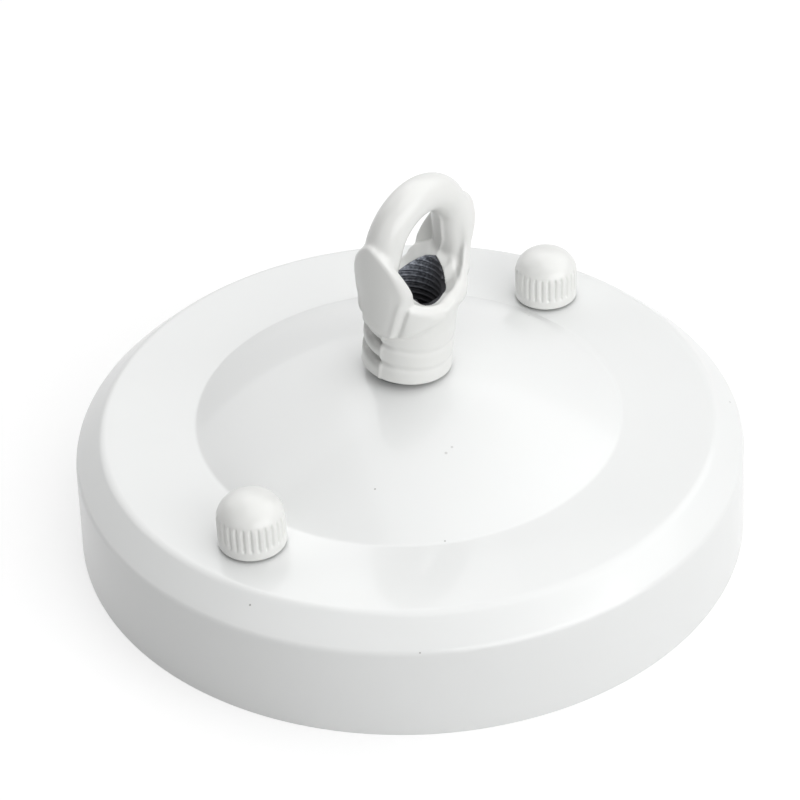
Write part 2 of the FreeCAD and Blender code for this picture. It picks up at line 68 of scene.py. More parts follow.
class Wire:
    """A socket of a node tree; sums and products of wires add Math nodes."""

    def __init__(self, tree, socket):
        self.tree, self.socket = tree, socket

    def math(self, operation, *others):
        """A Math node on this wire and others."""
        return self.tree.node("ShaderNodeMath", {"operation": operation},
                              {i: v for i, v in enumerate((self,) + others)})

    def __add__(self, other): return self.math("ADD", other)
    def __sub__(self, other): return self.math("SUBTRACT", other)
    def __mul__(self, other): return self.math("MULTIPLY", other)
    def __truediv__(self, other): return self.math("DIVIDE", other)
    def __radd__(self, other): return self + other
    def __rmul__(self, other): return self * other
    def __rsub__(self, other): return (self * -1.0) + other

    def between(self, low, high):
        """0 at low and 1 at high, with a smooth rise."""
        return self.tree.node("ShaderNodeMapRange", {"interpolation_type": "SMOOTHSTEP"},
                              {"Value": self, "From Min": low, "From Max": high})


class Tree:
    """Adds nodes to one node tree."""

    def __init__(self, tree):
        self.tree = tree

    def node(self, kind, settings=None, inputs=None, out=0):
        """One output of a new node, which is given its settings and the numbers or wires of its sockets."""
        made = self.tree.nodes.new(kind)
        for name, setting in (settings or {}).items():
            setattr(made, name, setting)
        for name, given in (inputs or {}).items():
            if isinstance(given, Wire):
                self.tree.links.new(given.socket, made.inputs[name])
            else:
                made.inputs[name].default_value = given
        return Wire(self, made.outputs[out])

    def blend(self, share, first, second):
        """A colour between two, each a wire or three numbers."""
        first, second = (c if isinstance(c, Wire) else (*c, 1.0) for c in (first, second))
        return self.node("ShaderNodeMix", {"data_type": "RGBA"}, {0: share, 6: first, 7: second}, out=2)

    def split(self, vector):
        """The three parts of a vector."""
        parts = self.node("ShaderNodeSeparateXYZ", None, {0: vector}).socket.node.outputs
        return [Wire(self, part) for part in parts]


def finish(name, build):
    """A material whose build function is given its tree and its Principled shader."""
    material = bpy.data.materials.new(name)
    material.use_nodes = True
    shader = material.node_tree.nodes["Principled BSDF"]
    build(Tree(material.node_tree), shader)
    return material


def feed(shader, **sockets):
    """Wires and numbers for a Principled shader, with _ for the spaces in a socket's name."""
    for name, given in sockets.items():
        socket = shader.inputs[name.replace("_", " ")]
        if isinstance(given, Wire):
            given.tree.tree.links.new(given.socket, socket)
        else:
            socket.default_value = given


def place(tree, matrix=None):
    """Object coordinates in millimetres, in the frame of a piece if its matrix is given."""
    here = tree.node("ShaderNodeTexCoord", out="Object")
    to_mm = Matrix.Scale(1 / MM, 4) @ (matrix or Matrix()).inverted()
    turn = to_mm.to_quaternion().to_euler()
    return tree.node("ShaderNodeMapping", None, {
        "Vector": here, "Location": to_mm.translation, "Rotation": turn, "Scale": (1 / MM,) * 3})


def noise(tree, where, size, detail=2.0, roughness=0.5):
    """Noise from 0 to 1 with features of about the given size in millimetres."""
    return tree.node("ShaderNodeTexNoise", None, {
        "Vector": where, "Scale": 1 / size, "Detail": detail, "Roughness": roughness})


def bump(tree, height, depth):
    """A normal from a height of 0 to 1 that stands for a depth in millimetres."""
    return tree.node("ShaderNodeBump", None, {"Height": height, "Distance": depth * MM, "Strength": 1.0})


ZINC, ZINC_DULL, ZINC_BLUE = (0.63, 0.64, 0.65), (0.47, 0.48, 0.49), (0.55, 0.59, 0.66)


def zinc_plate(tree, shader):
    """Bright plating: cloudy, a little blue in places, with fine rolling lines and small scuffs."""
    where = place(tree)
    cloud = noise(tree, where, 6.0, 4.0)
    drawn = tree.node("ShaderNodeMapping", None, {"Vector": where, "Scale": (0.05, 1.0, 1.0)})
    grain = noise(tree, drawn, 0.30, 2.0)
    scuff = noise(tree, where, 0.8, 5.0, 0.7).between(0.62, 0.70)
    colour = tree.blend(cloud.between(0.35, 0.7), ZINC, ZINC_DULL)
    colour = tree.blend(noise(tree, where, 14.0).between(0.5, 0.75) * 0.5, colour, ZINC_BLUE)
    feed(shader, Base_Color=colour, Metallic=1.0, Roughness=cloud * 0.16 + scuff * 0.12 + 0.29,
         Normal=bump(tree, grain, 0.006))


zinc = finish("bright_zinc", zinc_plate)


def baked(piece):
    """Turn a piece's modifiers into plain mesh."""
    bpy.context.view_layer.update()
    evaluated = piece.evaluated_get(bpy.context.evaluated_depsgraph_get())
    mesh = bpy.data.meshes.new_from_object(evaluated)
    piece.modifiers.clear()
    old, piece.data = piece.data, mesh
    bpy.data.meshes.remove(old)
    return piece


def worn(piece, material, body, slot, *nodes):
    """Give a finished piece its material and its place in the frame."""
    piece.data.materials.clear()
    piece.data.materials.append(material)
    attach(piece, body)
    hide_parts(*nodes)
    return piece


def softened(name, node, voxel, passes):
    """A copy of a node with the slightly rolled edges of stamped and plated strip."""
    piece = bpy.data.objects.new(name, frame["nodes"][node].data.copy())
    scene.collection.objects.link(piece)
    shape = bmesh.new()
    shape.from_mesh(piece.data)
    bmesh.ops.remove_doubles(shape, verts=shape.verts, dist=1e-6)
    shape.to_mesh(piece.data)
    shape.free()
    remesh = piece.modifiers.new("remesh", "REMESH")
    remesh.mode, remesh.voxel_size, remesh.use_smooth_shade = "VOXEL", voxel * MM, True
    smooth = piece.modifiers.new("smooth", "SMOOTH")
    smooth.factor, smooth.iterations = 0.5, passes
    return baked(piece)


STRAP_CELL, STRAP_PASSES = 0.3, 5
strap = softened("strap_plate", "strap_bracket", STRAP_CELL, STRAP_PASSES)
worn(strap, zinc, "bracket", "zinc_steel", "strap_bracket")


# Studs: M4 machine screws put up through the strap from the ceiling side and held by a spring
# washer and a hexagon nut each. They carry the whole canopy.

STUD_X, STUD_FOOT, STUD_R, STUD_TIP, STUD_STEPS = 39.65, 3.0, 2.0, 23.7, 40
STUD_HEAD_R, STUD_HEAD_H, STUD_HEAD_ROUND, STUD_HEAD_BULGE, STUD_HEAD_EDGE = 3.8, 2.4, 0.5, 0.15, 0.1
STUD_PITCH, STUD_THREAD, STUD_PLAIN, STUD_FADE, STUD_ROW = 0.7, 0.36, 1.6, 0.6, 0.07
SHARP = math.radians(35)


def spun(name, profile, steps, closed=False):
    """A smooth mesh turned about Z from a profile in millimetres."""
    mesh = bpy.data.meshes.new(name)
    shape = bmesh.new()
    rings = []
    for r, z in profile:
        if r < 1e-6:
            rings.append([shape.verts.new((0, 0, z * MM))] * steps)
        else:
            rings.append([shape.verts.new((r * MM * math.cos(a), r * MM * math.sin(a), z * MM))
                          for a in (math.tau * i / steps for i in range(steps))])
    pairs = list(zip(rings, rings[1:] + rings[:1])) if closed else list(zip(rings, rings[1:]))
    for low, high in pairs:
        for i in range(steps):
            following = (i + 1) % steps
            corners = list(dict.fromkeys((low[i], low[following], high[following], high[i])))
            if len(corners) > 2:
                shape.faces.new(corners)
    bmesh.ops.recalc_face_normals(shape, faces=shape.faces)
    shape.to_mesh(mesh)
    shape.free()
    mesh.shade_smooth()
    mesh.set_sharp_from_angle(angle=SHARP)
    made = bpy.data.objects.new(name, mesh)
    scene.collection.objects.link(made)
    return made


def tree_sockets(name, sizes):
    """A Geometry Nodes tree with sockets for a piece, its finish and its sizes, and their wires."""
    group = bpy.data.node_groups.new(name, "GeometryNodeTree")
    group.interface.new_socket("Geometry", in_out="INPUT", socket_type="NodeSocketGeometry")
    group.interface.new_socket("Finish", in_out="INPUT", socket_type="NodeSocketMaterial")
    for size in sizes:
        group.interface.new_socket(size, in_out="INPUT", socket_type="NodeSocketFloat")
    group.interface.new_socket("Geometry", in_out="OUTPUT", socket_type="NodeSocketGeometry")
    tree = Tree(group)
    given = group.nodes.new("NodeGroupInput")
    return group, tree, {s.name: Wire(tree, s) for s in given.outputs if s.name}


def leave(group, tree, shape, finish_wire):
    """End a tree: instances made real, then the finish."""
    real = tree.node("GeometryNodeRealizeInstances", None, {"Geometry": shape})
    done = tree.node("GeometryNodeSetMaterial", None, {"Geometry": real, "Material": finish_wire})
    group.links.new(done.socket, group.nodes.new("NodeGroupOutput").inputs[0])
    return group


def turned_surface(tree):
    """Position on a turned piece: x, y, z, radius and the angle about Z."""
    x, y, z = tree.split(tree.node("GeometryNodeInputPosition"))
    return x, y, z, (x * x + y * y).math("SQRT"), y.math("ARCTAN2", x)


def faded(z, size):
    """1 between the Low and High of a tree's sizes, and 0 beyond them, with a Fade at each end."""
    low, high, fade = size["Low"], size["High"], size["Fade"]
    return z.between(low, low + fade) * z.between(high, high - fade)


THREAD_FLANK, AXIS = (0.12, 0.88), 1e-6


def thread_tree():
    """A screw thread pressed into the side of a turned piece between two radii and two heights."""
    group, tree, size = tree_sockets("screw_thread", (
        "Pitch", "Depth", "Low", "High", "Fade", "Inner", "Outer"))
    x, y, z, radius, angle = turned_surface(tree)
    turn = (z / size["Pitch"] - angle / math.tau).math("PINGPONG", 0.5) * 2
    groove = turn.between(*THREAD_FLANK) * size["Depth"]
    band = radius.math("GREATER_THAN", size["Inner"]) * radius.math("LESS_THAN", size["Outer"])
    share = 1 - groove * faded(z, size) * band / radius.math("MAXIMUM", AXIS)
    moved = tree.node("ShaderNodeCombineXYZ", None, {0: x * share, 1: y * share, 2: z})
    shape = tree.node("GeometryNodeSetPosition", None, {"Geometry": size["Geometry"], "Position": moved})
    return leave(group, tree, shape, size["Finish"])


def with_nodes(piece, group, finish_material, **sizes):
    """Run a Geometry Nodes tree on a piece with sizes in millimetres, and keep the plain mesh."""
    modifier = piece.modifiers.new(group.name, "NODES")
    modifier.node_group = group
    for item in group.interface.items_tree:
        if item.in_out == "INPUT" and item.name in sizes:
            modifier[item.identifier] = float(sizes[item.name])
        elif item.in_out == "INPUT" and item.name == "Finish":
            modifier[item.identifier] = finish_material
    return baked(piece)


threads = thread_tree()


def rows(radius, low, high, step):
    """Profile points up a straight side, close enough together for a thread."""
    count = max(2, round(abs(high - low) / step))
    return [(radius, low + (high - low) * i / count) for i in range(count + 1)]


def bought(node, material):
    """Give a plain bought-in piece its material and keep its shape."""
    held = frame["nodes"][node]
    held.data.materials.clear()
    held.data.materials.append(material)


for side, end in ((-1, "front"), (1, "rear")):
    chamfer, head_low = STUD_R / 3, STUD_FOOT - STUD_HEAD_H
    profile = [(0, head_low), (STUD_HEAD_R - STUD_HEAD_ROUND, head_low),
               (STUD_HEAD_R - STUD_HEAD_BULGE, head_low + STUD_HEAD_BULGE),
               (STUD_HEAD_R, head_low + STUD_HEAD_ROUND), (STUD_HEAD_R, STUD_FOOT - STUD_HEAD_EDGE),
               (STUD_HEAD_R - STUD_HEAD_EDGE, STUD_FOOT), (STUD_R, STUD_FOOT)]
    profile += rows(STUD_R, STUD_FOOT + 0.05, STUD_TIP - chamfer, STUD_ROW)
    stud = spun(end + "_stud", profile + [(STUD_R - chamfer, STUD_TIP), (0, STUD_TIP)], STUD_STEPS)
    with_nodes(stud, threads, zinc, Pitch=STUD_PITCH * MM, Depth=STUD_THREAD * MM,
               Low=(STUD_FOOT + STUD_PLAIN) * MM, High=STUD_TIP * MM, Fade=STUD_FADE * MM,
               Inner=(STUD_R - 0.3) * MM, Outer=(STUD_R + 0.05) * MM)
    stud.data.transform(Matrix.Translation((side * STUD_X * MM, 0, 0)))
    worn(stud, zinc, "bracket", "zinc_steel", end + "_stud_screw")
    bought(end + "_lock_washer", zinc)
    bought(end + "_lock_nut", zinc)


# Earth terminal: a turned brass screw with a slotted head, its washer and its nut, put through the
# raised end of the strap. The earth wire is clamped under the head.

BRASS, BRASS_DULL = (0.72, 0.52, 0.22), (0.50, 0.36, 0.16)


def bare_brass(tree, shader):
    """Turned brass, bright with duller clouds."""
    where = place(tree)
    cloud = noise(tree, where, 3.0, 3.0)
    feed(shader, Base_Color=tree.blend(cloud.between(0.35, 0.7), BRASS, BRASS_DULL), Metallic=1.0,
         Roughness=cloud * 0.2 + 0.29)


brass = finish("bare_brass", bare_brass)
for node in ("earth_screw", "earth_washer", "earth_nut"):
    bought(node, brass)


# Canopy: one steel pressing, spun to a straight skirt, a sloped shoulder, a flat ring and a
# shallow dome, then stoved in gloss white. Two holes take the studs and one takes the hollow thread.

RIM_R, SKIRT_R, SKIRT_TOP = 54.0, 53.4, 15.3
FLAT_R, FLAT_TOP = 48.95, 19.4
DOME_R, CROWN_TOP, CROWN_HOLE_R = 34.0, 28.8, 5.6
SHEET, CANOPY_STEPS = 0.9, 288
SHOULDER_ROUND, FLAT_ROUND, DOME_ROUND = 1.6, 2.2, 1.2
STUD_HOLE_R, DRILL_LOW, DRILL_HIGH, DRILL_STEPS = 2.35, 10, 30, 48
# The third colour is painted shade: near black, laid where a mask puts shade or shadow.
CANOPY_WHITE, SPECK, PAINTED_SHADE = (0.840, 0.850, 0.844), (0.16, 0.15, 0.13), (0.10, 0.10, 0.095)
CANOPY_SPECKS = (
    ((-49.92, -7.60, 17.98), 0.20, 0.7), ((-23.36, -10.90, 23.58), 0.18, 0.6),
    ((-42.19, -32.56, 15.40), 0.20, 0.6), ((-23.65, -23.93, 19.61), 0.18, 0.5),
    ((-12.26, -16.21, 25.60), 0.30, 0.3), ((-10.79, -16.29, 25.85), 0.26, 0.3),
    ((33.55, -39.58, 16.69), 0.20, 0.6))
CANOPY_SCRATCH = ((19.93, -5.13, 25.52), (31.48, -2.26, 20.79), (37.97, -2.98, 19.40))


def apart(tree, where, spot):
    """Distance in millimetres from a point."""
    return tree.node("ShaderNodeVectorMath", {"operation": "DISTANCE"}, {0: where, 1: spot}, out="Value")


def beside(tree, where, start, stop):
    """Distance in millimetres from a straight line between two points."""
    run = Vector(stop) - Vector(start)
    from_start = tree.node("ShaderNodeVectorMath", {"operation": "SUBTRACT"}, {0: where, 1: start})
    along = tree.node("ShaderNodeVectorMath", {"operation": "DOT_PRODUCT"},
                      {0: from_start, 1: run / run.length_squared}, out="Value")
    along = along.math("MAXIMUM", 0.0).math("MINIMUM", 1.0)
    foot = tree.node("ShaderNodeVectorMath", {"operation": "SCALE"}, {0: run, "Scale": along})
    return tree.node("ShaderNodeVectorMath", {"operation": "DISTANCE"}, {0: from_start, 1: foot}, out="Value")


def gloss_white(tree, shader, white, specks=(), scratch=(), shade_mask=None):
    """Stoved paint: slight orange peel, faint clouds, specks, a hair line, and painted shade where a mask
    puts it.
    """
    where = place(tree)
    cloud, peel = noise(tree, where, 22.0), noise(tree, where, 1.6, 1.0)
    colour = tree.blend(cloud.between(0.3, 0.7), white, [c * 0.99 for c in white])
    for spot, radius, strength in specks:
        fleck = 1 - apart(tree, where, spot).between(radius * 0.5, radius)
        colour = tree.blend(fleck * strength, colour, SPECK)
    for start, stop in zip(scratch, scratch[1:]):
        line = 1 - beside(tree, where, start, stop).between(0.04, 0.14)
        colour = tree.blend(line * noise(tree, where, 2.0).between(0.35, 0.6) * 0.35, colour, SPECK)
    # Painted shade: the colour darkens towards near black where the mask is high.
    if shade_mask:
        colour = tree.blend(shade_mask(tree), colour, PAINTED_SHADE)
    feed(shader, Base_Color=colour, Roughness=cloud * 0.06 + 0.29, Normal=bump(tree, peel, 0.010),
         Coat_Weight=0.35, Coat_Roughness=0.06, Specular_IOR_Level=0.5)


canopy_paint = finish("canopy_white_paint", lambda tree, shader: gloss_white(
    tree, shader, CANOPY_WHITE, CANOPY_SPECKS, CANOPY_SCRATCH))


def corner_round(before, corner, after, radius, steps=8):
    """Points of an arc of the given radius that rounds off a corner of a profile."""
    to_before, to_after = (before - corner).normalized(), (after - corner).normalized()
    half = to_before.angle(to_after) / 2
    centre = corner + (to_before + to_after).normalized() * radius / math.sin(half)
    start = corner + to_before * radius / math.tan(half)
    stop = corner + to_after * radius / math.tan(half)
    sweep = (start - centre).angle_signed(stop - centre)
    return [centre + Matrix.Rotation(-sweep * i / steps, 2) @ (start - centre) for i in range(steps + 1)]


def rounded_profile(corners):
    """A profile of radius and height from corners given as radius, height and rounding."""
    points = [Vector(c[:2]) for c in corners]
    profile = []
    for i, (r, z, radius) in enumerate(corners):
        if radius and 0 < i < len(corners) - 1:
            profile += corner_round(points[i - 1], points[i], points[i + 1], radius)
        else:
            profile.append(points[i])
    return [(p.x, p.y) for p in profile]


def dome_arc(foot_r, foot_z, top_r, sphere, steps=40):
    """Points up a dome from its foot towards the crown."""
    centre = foot_z - math.sqrt(sphere ** 2 - foot_r ** 2)
    low, high = math.asin(foot_r / sphere), math.asin(top_r / sphere)
    angles = [low + (high - low) * i / steps for i in range(steps + 1)]
    return [(sphere * math.sin(a), centre + sphere * math.cos(a)) for a in angles]


def canopy_wall(inset):
    """One face of the sheet: the outer one, or the inner one drawn in by the sheet's thickness."""
    climb = CROWN_TOP - FLAT_TOP
    sphere = (DOME_R ** 2 + climb ** 2) / (2 * climb)
    slope = math.atan2(FLAT_R - SKIRT_R, FLAT_TOP - SKIRT_TOP)
    centre = CROWN_TOP - sphere
    foot = math.sqrt((sphere - inset) ** 2 - (FLAT_TOP - inset - centre) ** 2)
    dome = dome_arc(foot, FLAT_TOP - inset, CROWN_HOLE_R, sphere - inset)
    corners = [
        (RIM_R - inset, 0, 0),
        (SKIRT_R - inset, SKIRT_TOP - inset * math.tan(-slope / 2), SHOULDER_ROUND - inset),
        (FLAT_R - inset * math.tan((math.pi / 2 + slope) / 2), FLAT_TOP - inset, FLAT_ROUND - inset),
        (foot, FLAT_TOP - inset, DOME_ROUND + inset),
        (*dome[3], 0),
    ]
    return rounded_profile(corners) + dome[4:]


canopy = spun("canopy_pressing", canopy_wall(0) + canopy_wall(SHEET)[::-1], CANOPY_STEPS, closed=True)
for side in (-1, 1):
    drill = spun("stud_drill", [(0, DRILL_LOW), (STUD_HOLE_R, DRILL_LOW), (STUD_HOLE_R, DRILL_HIGH),
                                (0, DRILL_HIGH)], DRILL_STEPS)
    drill.data.transform(Matrix.Translation((side * STUD_X * MM, 0, 0)))
    cut = canopy.modifiers.new("stud_hole", "BOOLEAN")
    cut.object, cut.operation, cut.solver = drill, "DIFFERENCE", "EXACT"
    baked(canopy)
    bpy.data.objects.remove(drill)
shape = bmesh.new()
shape.from_mesh(canopy.data)
bmesh.ops.remove_doubles(shape, verts=shape.verts, dist=2e-6)
bmesh.ops.dissolve_degenerate(shape, edges=shape.edges, dist=1e-6)
bmesh.ops.holes_fill(shape, edges=[e for e in shape.edges if e.is_boundary], sides=4)
bmesh.ops.recalc_face_normals(shape, faces=shape.faces)
shape.to_mesh(canopy.data)
shape.free()
canopy.data.set_sharp_from_angle(angle=SHARP)
worn(canopy, canopy_paint, "cover", "white_paint", "canopy")


# Hollow thread: M10 x 1 steel tube that clamps the loop to the crown, with a flat washer, a toothed
# washer and a thin hexagon nut inside the canopy. The cable goes through it.

NIPPLE_R, NIPPLE_BORE_R, NIPPLE_LOW, NIPPLE_HIGH, NIPPLE_CHAMFER = 5.0, 4.0, -9.596, 5.2, 0.5
NIPPLE_PITCH, NIPPLE_THREAD, NIPPLE_ROW, NIPPLE_STEPS = 1.0, 0.5, 0.09, 96
LOOP_LEAN, LOOP_LEAN_TOWARD, LOOP_TURN = 5.5, -52.7, -5.7
LOOP_BASE = Vector((0.0206, -0.0270, 29.1531)) * MM
toward = math.radians(LOOP_LEAN_TOWARD)
lean_axis = Vector((-math.sin(toward), math.cos(toward), 0))
loop_place = (Matrix.Translation(LOOP_BASE) @ Matrix.Rotation(math.radians(LOOP_LEAN), 4, lean_axis)
              @ Matrix.Rotation(math.radians(LOOP_TURN), 4, "Z"))
profile = [(NIPPLE_BORE_R, NIPPLE_LOW), (NIPPLE_R - NIPPLE_CHAMFER, NIPPLE_LOW)]
profile += rows(NIPPLE_R, NIPPLE_LOW + NIPPLE_CHAMFER, NIPPLE_HIGH - NIPPLE_CHAMFER, NIPPLE_ROW)
profile += [(NIPPLE_R - NIPPLE_CHAMFER, NIPPLE_HIGH), (NIPPLE_BORE_R, NIPPLE_HIGH)]
nipple = spun("hollow_thread", profile, NIPPLE_STEPS, closed=True)
with_nodes(nipple, threads, zinc, Pitch=NIPPLE_PITCH * MM, Depth=NIPPLE_THREAD * MM, Low=NIPPLE_LOW * MM,
           High=NIPPLE_HIGH * MM, Fade=NIPPLE_CHAMFER * MM, Inner=(NIPPLE_R - 0.45) * MM,
           Outer=(NIPPLE_R + 0.05) * MM)
nipple.data.transform(loop_place)
worn(nipple, zinc, "cover", "zinc_steel", "threaded_nipple")
for node in ("nipple_flat_washer", "nipple_lock_washer", "nipple_lock_nut"):
    bought(node, zinc)


# Loop: a zinc casting with a grooved round collar, two leaves and a ring of round wire, made in a
# two-part mould whose seam shows. It is painted with the canopy, leans a little on the dome, and
# its bore is tapped bare after painting.

COLLAR_R, BORE_R, BORE_TOP, BORE_EDGE = 7.15, 5.05, 17.9, 0.25
GROOVES, GROOVE_HALF, GROOVE_DEEP, GROOVE_FAINT, GROOVE_TILT = (3.65, 6.95), 0.52, 1.05, 0.18, 0.118
PARTING_Y, PARTING_RISE, PARTING_HALF, PARTING_SOFT, PARTING_TOP = -0.5, 0.16, 0.28, 0.25, 10
FOOT_EDGE, FOOT_RELIEF, FOOT_RELIEF_Z = 0.15, 0.7, (0.55, 0.25)
NEAR_FILL, NEAR_HALF, NEAR_Z, NEAR_Y = 0.5, 2.2, (9.0, 13.0), (0.0, -4.0)
MOUTH_FILL, MOUTH_FILL_Z, MOUTH_SLOPE, MOUTH_EDGE = 0.8, (15.0, 16.2), 0.8, 0.7
MOUTH_BEVEL, MOUTH_BEVEL_TOP, MOUTH_BEVEL_Y = 0.7, (14.4, 15.8), (-4.0, -2.0)
MOUTH_AZIMUTH = (-180, -160, -154, -144, -135, -126, -116, -106, -95, -82, -74, -60, -36, -23, 0, 20, 39,
                 63, 75, 90, 105, 126, 144, 160, 180)
MOUTH_TOP = (17.6, 17.0, 16.6, 15.6, 15.0, 14.35, 13.9, 13.75, 13.8, 14.1, 14.4, 14.2, 14.2, 16.0, 17.6, 17.0,
             15.8, 14.1, 13.5, 13.7, 13.5, 14.2, 15.6, 17.0, 17.6)
FOOT_Z, FOOT_R, FLARE_Z, FLARE_R, FLARE_COS = 7.0, 7.45, 28.5, 11.8, 0.98
CUP_Z, CUP_R = (12.5, 14.2, 17.0, FLARE_Z), (BORE_R - 0.3, 6.2, 7.6, FLARE_R - 1.3)
SCALLOP_ASIDE, SCALLOP_Z, SCALLOP_R = -0.8, 17.6, 8.76
KEEL_FOOT, KEEL_FOOT_Z, KEEL_SHOULDER, KEEL_HALF, KEEL_OVER = 2.95, 9.2, 18.2, 5.4, 0.3
LEAF_ARCH_R, LEAF_TIP_SOFT, LEAF_EDGE, LEAF_INNER_EDGE = 12.0, 1.0, 0.5, 0.8
LEAF_ROUND, LEAF_ROUND_MORE, LEAF_ROUND_Z, NARROW_Z = 0.35, 0.45, (12.0, 16.0), (15.0, 20.0)
LOBE_TOP, LOBE_END, LOBE_OVER, LOBE_EDGE = (4.6, 16.1), (7.3, 13.7), 0.4, 0.6
LOBE_FALL, LOBE_FALL_WIDE, LEAF_LAP, LEAF_LAP_SIDE = 0.7, (4.6, 7.6), 0.12, (-0.1, 0.6)
CREASE_DEEP, CREASE_AT, CREASE_LIP, CREASE_LIP_AT, CREASE_HALF = 0.42, 0.35, 0.14, -0.45, 0.40
BORDER_LIP, BORDER_LIP_AT, BORDER_LIP_HALF = 0.2, -0.55, 0.45
CREASE_Z, BORDER_Z = (17.5, 15.5), (15.0, 13.0)
BORDER_RELIEF, BORDER_RELIEF_AT, BORDER_RELIEF_HALF, BORDER_RELIEF_Y = 0.28, 0.3, 0.35, (7.0, 5.6)
LEAVES, LEAF_MEET = ((-1, 26.5, 1.0, 0.25), (1, 27.6, 1.45, 1.6)), 1.3
RING_R, WIRE_R, RING_Z, RING_LOW, LEG_LEAN, RING_COVER, RING_EDGE = 7.7, 2.9, 22.9, 8.0, 12.0, 0.5, 0.6
FLASH_RISE, FLASH_HALF, FLASH_ASIDE, FLASH_SHIFT, FLASH_SHIFT_Z = 0.16, 0.22, 0.6, 0.8, (21.0, 17.4)
FLASH_STEP, FLASH_STEP_NEAR, FLASH_STEP_FAR = 0.12, (0.0, -0.6), (-2.4, -0.8)
FLASH_IN, FLASH_Z = (-0.5, -2.0), (28.0, 23.5)
BODY_FILLET, BODY_FILLET_IN, BODY_FILLET_RHO = 0.12, 0.9, (7.2, 6.4)
BODY_FILLET_RIGHT, BODY_FILLET_Y = 1.4, (0.0, -3.0)
RING_FILLET, RING_FILLET_RIGHT, RING_FILLET_Z = 0.7, 1.8, (19, 24)
LOOP_BOX, LOOP_CELL, OUTSIDE = ((-12.6, -9.6, -0.6), (12.6, 9.6, 34.4)), 0.2, 5.0


def soft_max(a, b, width):
    """The larger of two forms, with the corner between them rounded: what both have in common."""
    share = np.clip(0.5 + 0.5 * (a - b) / width, 0, 1)
    return b + (a - b) * share + width * share * (1 - share)


def soft_min(a, b, width):
    """The smaller of two forms, with a fillet between them: the two joined."""
    return -soft_max(-a, -b, width)


def rise(t, low, high):
    """0 at low and 1 at high, with a smooth rise."""
    t = np.clip((t - low) / (high - low), 0, 1)
    return t * t * (3 - 2 * t)


def cup_radius(z):
    """Outer radius of the flared cup that both leaves are cut from."""
    return FOOT_R + (FLARE_R - FOOT_R) * np.clip(z - FOOT_Z, 0, FLARE_Z - FOOT_Z) / (FLARE_Z - FOOT_Z)


def hump(t, middle, half):
    """1 at a middle value, falling away to nothing on both sides of it."""
    return np.exp(-((t - middle) / half) ** 2)


def collar_form(x, y, z, rho):
    """The round collar: two grooves, deep behind the mould's seam and faint before it, and a wavy mouth."""
    back = rise(y, PARTING_Y - PARTING_SOFT, PARTING_Y + PARTING_SOFT)
    depth = GROOVE_FAINT + (GROOVE_DEEP - GROOVE_FAINT) * back
    level = z - GROOVE_TILT * y
    radius = COLLAR_R - sum(depth * hump(level, g, GROOVE_HALF) for g in GROOVES)
    radius = radius + PARTING_RISE * hump(y, PARTING_Y, PARTING_HALF) * (z < PARTING_TOP)
    radius = radius - FOOT_RELIEF * rise(z, *FOOT_RELIEF_Z)
    radius = radius + NEAR_FILL * hump(x, 0, NEAR_HALF) * rise(z, *NEAR_Z) * rise(y, *NEAR_Y)
    radius = radius + MOUTH_FILL * rise(z, *MOUTH_FILL_Z)
    form = soft_max(rho - radius, -z, FOOT_EDGE)
    top = np.interp(np.degrees(np.arctan2(y, x)), MOUTH_AZIMUTH, MOUTH_TOP)
    bevel = MOUTH_BEVEL * (np.clip(rho, BORE_R, COLLAR_R) - BORE_R)
    top = top + bevel * rise(top, *MOUTH_BEVEL_TOP) * rise(y, *MOUTH_BEVEL_Y)
    return soft_max(form, MOUTH_SLOPE * (z - top), MOUTH_EDGE)


def leaf_form(y, z, rho, hand, tip, narrow, join):
    """A leaf of the cup, and how far each point is from its round lower border.

    An arched keel has a lobe on each side, with a crease between.
    """
    aside = -hand * y
    aside = aside * (1 + (narrow - 1) * (aside > 0) * rise(z, *NARROW_Z))
    wide = np.abs(aside)
    scallop = np.hypot(aside - SCALLOP_ASIDE, z - SCALLOP_Z) - SCALLOP_R
    side = wide - KEEL_FOOT - (KEEL_HALF - KEEL_FOOT) * (z - KEEL_FOOT_Z) / (KEEL_SHOULDER - KEEL_FOOT_Z)
    climb = tip - KEEL_SHOULDER
    chord = math.hypot(KEEL_HALF, climb)
    away = math.sqrt(LEAF_ARCH_R ** 2 - chord ** 2 / 4)
    arch = np.hypot(np.hypot(aside, LEAF_TIP_SOFT) - KEEL_HALF / 2 + away * climb / chord,
                    z - (tip + KEEL_SHOULDER) / 2 + away * KEEL_HALF / chord) - LEAF_ARCH_R
    keel = soft_max(side - KEEL_OVER, arch, LEAF_EDGE)
    run, fall = LOBE_END[0] - LOBE_TOP[0], LOBE_TOP[1] - LOBE_END[1]
    slope = ((wide - LOBE_TOP[0]) * fall + (z - LOBE_TOP[1]) * run) / math.hypot(run, fall)
    lobe = soft_max(slope, wide - LOBE_END[0] - LOBE_OVER, LOBE_EDGE)
    plate = soft_max(soft_min(keel, lobe, join), scallop, LEAF_EDGE)
    lap = LEAF_LAP * rise(side, *LEAF_LAP_SIDE) + LOBE_FALL * rise(wide, *LOBE_FALL_WIDE)
    crease = CREASE_DEEP * hump(side, CREASE_AT, CREASE_HALF)
    lip = CREASE_LIP * hump(side, CREASE_LIP_AT, CREASE_HALF)
    hem = BORDER_LIP * hump(scallop, BORDER_LIP_AT, BORDER_LIP_HALF)
    outer = FLARE_COS * (rho - cup_radius(z)) + lap
    outer = outer + (crease - lip) * rise(z, *CREASE_Z) - hem * rise(z, *BORDER_Z)
    leaf = soft_max(plate, outer, LEAF_ROUND + LEAF_ROUND_MORE * rise(z, *LEAF_ROUND_Z))
    return soft_max(leaf, FLARE_COS * (np.interp(z, CUP_Z, CUP_R) - rho), LEAF_INNER_EDGE), scallop


